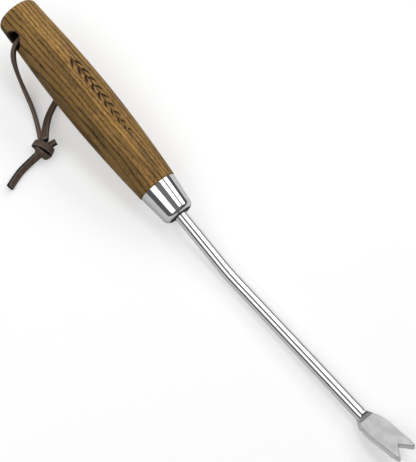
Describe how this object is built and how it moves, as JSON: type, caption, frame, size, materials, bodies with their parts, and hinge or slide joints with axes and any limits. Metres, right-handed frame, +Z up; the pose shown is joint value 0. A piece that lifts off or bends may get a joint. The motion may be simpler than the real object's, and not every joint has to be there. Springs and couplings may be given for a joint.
{
  "type": "hand weeder",
  "caption": "Hand weeder with a turned wooden handle, a steel ferrule, a bent round shank, a notched fishtail blade and a knotted leather hanging thong.",
  "frame": {"origin": "bottom centre of the box of the rigid tool as it lies at rest on a level surface, the thong left out", "axes": "+X along the tool from its butt towards the blade, +Z up from the surface it lies on"},
  "size_m": [0.3294, 0.0777, 0.0397],
  "materials": {
    "stained_ash": "stained and oiled, satin",
    "polished_steel": "mirror polished",
    "forged_steel": "polished round shank, satin blade",
    "set_adhesive": "set, glossy",
    "dark_leather": "waxed, dark brown",
    "burnt_wood": "branded into the handle, matt"
  },
  "bodies": {
    "root": {"wooden_handle": "stained_ash", "ferrule": "polished_steel", "fork_shank": "forged_steel", "tang_adhesive": "set_adhesive", "thong_near_strand": "dark_leather", "thong_far_strand": "dark_leather", "thong_knot": "dark_leather", "thong_tail": "dark_leather"}
  },
  "joints": []
}
